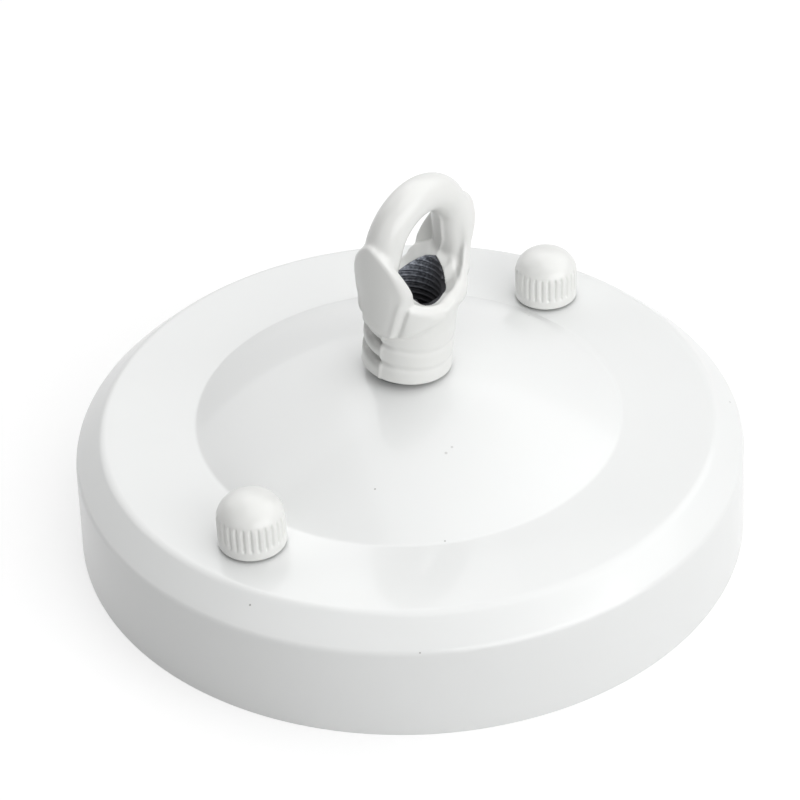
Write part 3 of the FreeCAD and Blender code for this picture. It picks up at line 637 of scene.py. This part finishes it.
def ring_form(x, y, z, rho):
    """The ring of round wire on two straight legs, with a flash line inside it."""
    wide = np.abs(x)
    lean = math.radians(LEG_LEAN)
    around = np.hypot(wide, z - RING_Z)
    arch = np.hypot(around - RING_R, y) - WIRE_R
    head_x, head_z = RING_R * math.cos(lean), RING_Z + RING_R * math.sin(lean)
    off = (wide - head_x) * math.cos(lean) + (z - head_z) * math.sin(lean)
    low = np.arctan2(z - RING_Z, wide) < lean
    ring = np.where(low, np.hypot(off, y) - WIRE_R, arch)
    seam = np.sign(x) * y + FLASH_ASIDE - FLASH_SHIFT * rise(z, *FLASH_SHIFT_Z)
    step = FLASH_STEP * rise(seam, *FLASH_STEP_NEAR) * rise(seam, *FLASH_STEP_FAR)
    flash = FLASH_RISE * hump(seam, 0, FLASH_HALF) - step
    ring = ring - flash * rise(np.where(low, off, around - RING_R), *FLASH_IN) * rise(z, *FLASH_Z)
    ring = np.where(z > RING_LOW, ring, OUTSIDE)
    return soft_max(ring, rho - cup_radius(z) + RING_COVER, RING_EDGE)


def casting_form(points):
    """The whole loop before its bore is cut: negative inside."""
    x, y, z = points.T
    rho = np.hypot(x, y)
    left, right = (leaf_form(y, z, rho, *leaf) for leaf in LEAVES)
    over = rise(x, -LEAF_MEET, LEAF_MEET)
    leaf, scallop = (a + (b - a) * over for a, b in zip(left, right))
    relief = BORDER_RELIEF * hump(scallop, BORDER_RELIEF_AT, BORDER_RELIEF_HALF)
    collar = collar_form(x, y, z, rho) + relief * rise(np.abs(y), *BORDER_RELIEF_Y)
    fillet = BODY_FILLET + BODY_FILLET_IN * rise(rho, *BODY_FILLET_RHO)
    body = soft_min(collar, leaf, fillet + BODY_FILLET_RIGHT * over * rise(y, *BODY_FILLET_Y))
    fillet = RING_FILLET + RING_FILLET_RIGHT * rise(z, *RING_FILLET_Z) * (x > 0)
    return soft_min(body, ring_form(x, y, z, rho), fillet)


def bored(points):
    """The loop with its bore cut through."""
    rho = np.hypot(points[:, 0], points[:, 1])
    bore = np.where(points[:, 2] < BORE_TOP, BORE_R - rho, -OUTSIDE)
    return soft_max(casting_form(points), bore, BORE_EDGE)


SETTLE_PASSES, SETTLE_PROBE, SETTLE_FLOOR, SKIN_ROUNDS = 3, 0.02, 0.2, 4


def skin(form, low, high, cell):
    """Points and four-sided faces of a closed skin on a form's zero level, on a grid of cells in a box."""
    axes = [np.arange(a, b + cell, cell) for a, b in zip(low, high)]
    grid = np.stack(np.meshgrid(*axes, indexing="ij"), -1)
    level = form(grid.reshape(-1, 3)).reshape(grid.shape[:3])
    inside = level < 0
    corners = sum(inside[i:i - 1 or None, j:j - 1 or None, k:k - 1 or None].astype(int)
                  for i in (0, 1) for j in (0, 1) for k in (0, 1))
    mixed = (corners > 0) & (corners < 8)
    number = np.full(mixed.shape, -1)
    number[mixed] = np.arange(mixed.sum())
    spots = grid[:-1, :-1, :-1][mixed] + cell / 2
    quads = []
    for axis in range(3):
        here = np.moveaxis(inside, axis, 0)
        change = np.argwhere(here[:-1] != here[1:])
        change = change[(change[:, 1:] > 0).all(1)]
        flip = here[tuple(change.T)]
        cells = np.moveaxis(number, axis, 0)
        a, b, c = change.T
        ring = np.stack([cells[a, b - 1, c - 1], cells[a, b, c - 1], cells[a, b, c],
                         cells[a, b - 1, c]], 1)
        if axis == 1:
            flip = ~flip
        ring[~flip] = ring[~flip][:, ::-1]
        quads.append(ring)
    quads = np.concatenate(quads)

    def settle(spots):
        """Move points on to the zero level, along the form's slope."""
        for _ in range(SETTLE_PASSES):
            d = form(spots)
            slope = [form(spots + SETTLE_PROBE * e) - form(spots - SETTLE_PROBE * e) for e in np.eye(3)]
            slope = np.stack(slope, 1) / (2 * SETTLE_PROBE)
            size = np.maximum((slope ** 2).sum(1), SETTLE_FLOOR)
            spots = spots - np.clip(d / size, -cell, cell)[:, None] * slope
        return spots

    spots = settle(spots)
    for _ in range(SKIN_ROUNDS):
        total, count = np.zeros_like(spots), np.zeros(len(spots))
        for i in range(4):
            for j in (1, 3):
                np.add.at(total, quads[:, i], spots[quads[:, (i + j) % 4]])
                np.add.at(count, quads[:, i], 1)
        spots = settle(0.5 * spots + 0.5 * total / count[:, None])
    return spots, quads


def mesh_piece(name, spots, faces):
    """A smooth mesh object from points in millimetres and their faces."""
    mesh = bpy.data.meshes.new(name)
    mesh.from_pydata((spots * MM).tolist(), [], faces.tolist())
    mesh.shade_smooth()
    made = bpy.data.objects.new(name, mesh)
    scene.collection.objects.link(made)
    return made


loop = mesh_piece("loop_casting", *skin(bored, *LOOP_BOX, LOOP_CELL))
loop.data.transform(loop_place)
LOOP_WHITE, LOOP_SPECKS = (0.800, 0.804, 0.785), (((-7.49, -1.11, 8.78), 0.20, 0.8),)
loop_specks = [(loop_place @ (Vector(spot) * MM) / MM, radius, strength)
               for spot, radius, strength in LOOP_SPECKS]
# Strengths of painted shade in the grooves behind and before the seam, and of painted shadow under the foot.
SHADE_BACK, SHADE_FRONT, SHADOW_FOOT = 0.56, 0.22, 0.9


def loop_painted_shade(tree):
    """Painted shade below the deep half of the collar's grooves, a little before the seam, and a painted
    shadow under the foot.
    """
    where = place(tree, loop_place)
    _, y, z = tree.split(where)
    level = z - y * GROOVE_TILT
    below = sum(level.between(g + 0.5, g - 0.1) * level.between(g - 2.3, g - 0.5) for g in GROOVES)
    patchy = noise(tree, where, 1.5).between(-0.3, 0.6)
    back = below * y.between(PARTING_Y - 0.1, PARTING_Y + 0.5) * patchy
    line = sum((level - g).math("ABSOLUTE").between(0.7, 0.1) for g in GROOVES)
    front = line * y.between(PARTING_Y - 2.9, PARTING_Y - 1.0) * y.between(PARTING_Y + 0.1, PARTING_Y - 0.4)
    foot = z.between(0.65, 0.3)
    return (back * SHADE_BACK + front * SHADE_FRONT + foot * SHADOW_FOOT).math("MINIMUM", 1.0)


# The loop's paint, with painted shade in its grooves and a painted shadow at its foot.
loop_paint = finish("loop_white_paint", lambda tree, shader: gloss_white(
    tree, shader, LOOP_WHITE, loop_specks, shade_mask=loop_painted_shade))
worn(loop, loop_paint, "cover", "white_paint", "loop_hook")

TAP_LOW, TAP_HIGH, TAP_PITCH, TAP_DEPTH, TAP_FADE = 5.3, 19, 1.04, 0.55, 0.5
TAP_STEPS, TAP_ROWS, TAP_SEARCH = 200, 170, (12.0, 19.0, 0.02)
TAP_SHORT, TAP_FACE, TAP_BACK = 0.06, -0.02, 0.1
# The first colour is painted shade, nearly black; the next line places the painted light, where the metal's
# own tones show.
SHADED_ZINC, DARK_ZINC, BRIGHT_ZINC = (0.05, 0.05, 0.055), (0.11, 0.12, 0.14), (0.32, 0.34, 0.38)
LIT_Z, LIT_TURN, LIT_ACROSS = (9.0, 15.5), 0.35, (-3.0, 0.6)


def tapped_zinc(tree, shader):
    """Bare casting metal, cut by the tap: grey-blue where painted light falls near the mouth, nearly black
    painted shade elsewhere.
    """
    where = place(tree, loop_place)
    cut = noise(tree, where, 0.5, 3.0)
    x, y, z = tree.split(where)
    metal = tree.blend(cut.between(0.3, 0.75), DARK_ZINC, BRIGHT_ZINC)
    # Painted light near the mouth and on one side of the bore; painted shade everywhere else.
    lit = z.between(*LIT_Z) * (y - x * LIT_TURN).between(*LIT_ACROSS)
    feed(shader, Base_Color=tree.blend(lit, SHADED_ZINC, metal), Metallic=1.0,
         Roughness=cut * 0.2 + 0.42, Normal=bump(tree, noise(tree, where, 0.15), 0.006))


def mouth_heights(radius):
    """How high the casting's inner face goes at each step round the bore."""
    levels = np.arange(*TAP_SEARCH)
    angles = np.arange(TAP_STEPS) * math.tau / TAP_STEPS
    heights = []
    for angle in angles:
        wall = np.stack([np.full_like(levels, radius * math.cos(angle)),
                         np.full_like(levels, radius * math.sin(angle)), levels], 1)
        heights.append(levels[np.argmax(casting_form(wall) > 0)])
    return angles, np.array(heights)


def tapped_bore():
    """The bore's own skin, up to the mouth's edge: inner face, then a thin outer one behind it."""
    angles, tops = mouth_heights(BORE_R)
    climb = np.linspace(0, 1, TAP_ROWS)
    rings = []
    for offset, share in [(TAP_FACE, s) for s in climb] + [(TAP_BACK, s) for s in (1.0, 0.0)]:
        radius = BORE_R + offset
        heights = TAP_LOW + (tops - TAP_SHORT - TAP_LOW) * share
        rings.append(np.stack([radius * np.cos(angles), radius * np.sin(angles), heights], 1))
    number = np.arange(len(rings) * TAP_STEPS).reshape(len(rings), TAP_STEPS)
    low, high = number, np.roll(number, -1, 0)
    faces = np.stack([low, high, np.roll(high, -1, 1), np.roll(low, -1, 1)], -1).reshape(-1, 4)
    return mesh_piece("loop_tapping", np.concatenate(rings), faces)


bare_zinc = finish("tapped_zinc", tapped_zinc)
tapping = tapped_bore()
with_nodes(tapping, threads, bare_zinc, Pitch=TAP_PITCH * MM, Depth=TAP_DEPTH * MM,
           Low=(TAP_LOW - 2 * TAP_FADE) * MM, High=TAP_HIGH * MM, Fade=TAP_FADE * MM,
           Inner=(BORE_R - 0.06) * MM, Outer=(BORE_R + 0.04) * MM)
tapping.data.transform(loop_place)
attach(tapping, "cover")


# Cap nuts: turned and knurled brass caps, blind tapped and painted with the canopy. Each screws
# down on a stud and clamps the flat ring.

CAP_R, CAP_TOP, CAP_SIDE_TOP, CAP_RIM, CAP_FULLNESS, CAP_ROW = 5.2, 9.0, 4.9, 1.65, 2.06, 0.11
CAP_BORE_R, CAP_BORE_TOP, CAP_DOME_STEPS = 2.05, 5.5, 32
CAP_RIBS, CAP_RIB_DEPTH, CAP_RIB_TOP, CAP_RIB_FADE, CAP_RIB_STEPS, CAP_RIB_SHARP = 28, 0.34, 6.3, 0.8, 12, 3.0
CAP_RELIEF, CAP_RELIEF_H, CAP_EDGE, CAP_EDGE_ROUND = 1.0, 0.42, 0.25, 0.07


def rib_tree():
    """Upright grooves pressed into the side of a turned piece."""
    group, tree, size = tree_sockets("upright_ribs", ("Ribs", "Depth", "Low", "High", "Fade", "Inner"))
    x, y, z, radius, angle = turned_surface(tree)
    wave = ((angle * size["Ribs"]).math("COSINE") * 0.5 + 0.5).math("POWER", CAP_RIB_SHARP)
    press = wave * faded(z, size) * radius.math("GREATER_THAN", size["Inner"]) * size["Depth"]
    share = 1 - press / radius.math("MAXIMUM", AXIS)
    moved = tree.node("ShaderNodeCombineXYZ", None, {0: x * share, 1: y * share, 2: z})
    shape = tree.node("GeometryNodeSetPosition", None, {"Geometry": size["Geometry"], "Position": moved})
    return leave(group, tree, shape, size["Finish"])


ribs = rib_tree()


def cap_painted_shadow(tree):
    """Painted shadow in the gap under a cap nut's rim."""
    _, _, height = tree.split(place(tree))
    return height.between(FLAT_TOP + CAP_RELIEF_H + 0.12, FLAT_TOP + CAP_RELIEF_H - 0.05) * 0.85


# Cap paint, with a painted shadow under the rim.
cap_paint = finish("cap_white_paint", lambda tree, shader: gloss_white(
    tree, shader, LOOP_WHITE, shade_mask=cap_painted_shadow))
cap_turns = [math.pi / 2 * i / CAP_DOME_STEPS for i in range(1, CAP_DOME_STEPS + 1)]
cap_dome = [(CAP_R * max(math.cos(a), 0) ** (2 / CAP_FULLNESS),
             CAP_SIDE_TOP + (CAP_TOP - CAP_SIDE_TOP) * math.sin(a) ** (2 / CAP_FULLNESS)) for a in cap_turns]
cap_foot = [(0, CAP_BORE_TOP), (CAP_BORE_R, CAP_BORE_TOP), (CAP_BORE_R, 0), (CAP_R - CAP_RELIEF, 0),
            (CAP_R - CAP_RELIEF, CAP_RELIEF_H), (CAP_R - CAP_EDGE, CAP_RELIEF_H),
            (CAP_R - CAP_EDGE_ROUND, CAP_RELIEF_H + CAP_EDGE_ROUND)]
cap_side = rows(CAP_R, CAP_RELIEF_H + CAP_EDGE, CAP_SIDE_TOP, CAP_ROW)
for side, end in ((-1, "front"), (1, "rear")):
    nut = spun(end + "_cap", cap_foot + cap_side + cap_dome, CAP_RIBS * CAP_RIB_STEPS)
    with_nodes(nut, ribs, cap_paint, Ribs=CAP_RIBS, Depth=CAP_RIB_DEPTH * MM, Low=CAP_RIM * MM,
               High=CAP_RIB_TOP * MM, Fade=CAP_RIB_FADE * MM, Inner=(CAP_BORE_R + 1) * MM)
    nut.data.transform(Matrix.Translation((side * STUD_X * MM, 0, FLAT_TOP * MM)))
    worn(nut, cap_paint, end + "_nut", "white_paint", end + "_cap_nut")


# Stage: a matt white board under the rose in a white room, a large softbox overhead, smaller ones
# at the right, left and back, and the camera.

CAMERA_AZIMUTH, CAMERA_ELEVATION, CAMERA_ROLL = -52.7, 38.57, -2.18
CAMERA_DISTANCE, CAMERA_LENS, SENSOR = 421.06 * MM, 115.335, 36.0
FRAME_PX, CENTRE_PX = 800, (412.04, 505.75)
view_turn = Matrix.Rotation(math.radians(CAMERA_AZIMUTH), 4, "Z")


def aim_camera():
    """The camera's matrix, with the rim's centre on its pixel of the frame."""
    elevation, roll = math.radians(CAMERA_ELEVATION), math.radians(CAMERA_ROLL)
    spot = Vector((0, -math.cos(elevation), math.sin(elevation))) * CAMERA_DISTANCE
    forward = -spot.normalized()
    right = Vector((1, 0, 0))
    up = right.cross(forward)
    right, up = (math.cos(roll) * right + math.sin(roll) * up,
                 math.cos(roll) * up - math.sin(roll) * right)
    focal = CAMERA_LENS / SENSOR * FRAME_PX
    pan, tilt = (math.atan((c - FRAME_PX / 2) / focal) for c in CENTRE_PX)
    right, forward = (math.cos(pan) * right + math.sin(pan) * forward,
                      math.cos(pan) * forward - math.sin(pan) * right)
    up, forward = (math.cos(tilt) * up - math.sin(tilt) * forward,
                   math.sin(tilt) * up + math.cos(tilt) * forward)
    matrix = Matrix((right, up, -forward)).transposed().to_4x4()
    matrix.translation = spot
    return view_turn @ matrix


camera = bpy.data.objects.new("camera", bpy.data.cameras.new("camera"))
camera.data.lens, camera.data.sensor_width = CAMERA_LENS, SENSOR
camera.data.clip_start = 0.01
camera.matrix_world = aim_camera()
scene.collection.objects.link(camera)
scene.camera = camera


def softbox(name, spot, size, radiance, target=None, spin=0.0):
    """A soft panel aimed at a point, or straight down; its place is seen from the camera's side."""
    lamp = bpy.data.lights.new(name, "AREA")
    lamp.shape, lamp.size, lamp.size_y = "RECTANGLE", *size
    lamp.energy = radiance * math.pi * size[0] * size[1]
    panel = bpy.data.objects.new(name, lamp)
    spot = Vector(spot)
    facing = spot - Vector(target or (spot.x, spot.y, 0))
    turn = facing.to_track_quat("Z", "Y").to_matrix().to_4x4() @ Matrix.Rotation(math.radians(spin), 4, "Z")
    panel.matrix_world = view_turn @ Matrix.Translation(spot) @ turn
    scene.collection.objects.link(panel)
    return panel


ROSE = (0, 0, 0.02)
SOFTBOXES = (
    ("overhead_softbox", (0.597, 0.255, 0.72), (1.5, 1.2), 1.18, None, 11.95),
    ("right_softbox", (0.65, -0.75, 0.42), (1.2, 0.8), 2.30, ROSE, 0.0),
    ("left_softbox", (-0.55, -0.75, 0.60), (0.9, 0.9), 0.56, ROSE, 0.0),
    ("back_softbox", (-0.50, 0.80, 0.80), (1.2, 1.0), 0.95, ROSE, 0.0),
)
ROOM_LOW, ROOM_HIGH = 0.02, 0.34
for given in SOFTBOXES:
    softbox(*given)


def plain_seen(tree):
    """1 where the eye, a reflection or clear glass looks at it, and 0 for the light that it gives."""
    ray = tree.node("ShaderNodeLightPath").socket.node
    eye, gloss, clear = (Wire(tree, ray.outputs["Is %s Ray" % kind])
                         for kind in ("Camera", "Glossy", "Transmission"))
    return eye.math("MAXIMUM", gloss).math("MAXIMUM", clear)


def white_room(tree, background):
    """A room that is white to look at and lights the rose softly, more from above than from the sides."""
    _, _, height = tree.split(tree.node("ShaderNodeTexCoord", out="Generated"))
    above = height.math("MAXIMUM", 0.0)
    given, seen = above * above * ROOM_HIGH + ROOM_LOW, plain_seen(tree)
    tree.tree.links.new((seen + (1 - seen) * given).socket, background.inputs["Strength"])
    background.inputs["Color"].default_value = (1, 1, 1, 1)


world = bpy.data.worlds.new("studio")
world.use_nodes = True
scene.world = world
white_room(Tree(world.node_tree), world.node_tree.nodes["Background"])


BOARD_HALF, BOARD_Z, BOARD_FADE = 3.0, -5e-5, (110, 320)
BOARD_GREY, BOARD_SEEN, BOARD_GLOW = 0.6, 0.5, 0.58


def white_floor(tree, shader):
    """Matt white board: paler to look at, with the rose's shadow on it, and plain white far off."""
    feed(shader, Base_Color=(*[BOARD_GREY] * 3, 1), Roughness=0.9, Specular_IOR_Level=0.1)
    board = Wire(tree, shader.outputs[0])
    seen = tree.node("ShaderNodeBsdfDiffuse", None, {"Color": (*[BOARD_SEEN] * 3, 1)})
    glow, white = (tree.node("ShaderNodeEmission", None, {"Color": (1, 1, 1, 1), "Strength": strength})
                   for strength in (BOARD_GLOW, 1.0))
    pale = tree.node("ShaderNodeAddShader", None, {0: seen, 1: glow})
    far = apart(tree, place(tree), (0, 0, 0)).between(*BOARD_FADE)
    pale = tree.node("ShaderNodeMixShader", None, {0: far, 1: pale, 2: white})
    shown = tree.node("ShaderNodeMixShader", None, {0: plain_seen(tree), 1: board, 2: pale})
    tree.tree.links.new(shown.socket, tree.tree.nodes["Material Output"].inputs["Surface"])


floor_mesh = bpy.data.meshes.new("floor")
corners = [(x * BOARD_HALF, y * BOARD_HALF, BOARD_Z) for x, y in ((-1, -1), (1, -1), (1, 1), (-1, 1))]
floor_mesh.from_pydata(corners, [], [(0, 1, 2, 3)])
floor = bpy.data.objects.new("floor", floor_mesh)
floor_mesh.materials.append(finish("white_floor", white_floor))
scene.collection.objects.link(floor)

scene.view_settings.view_transform = "Standard"
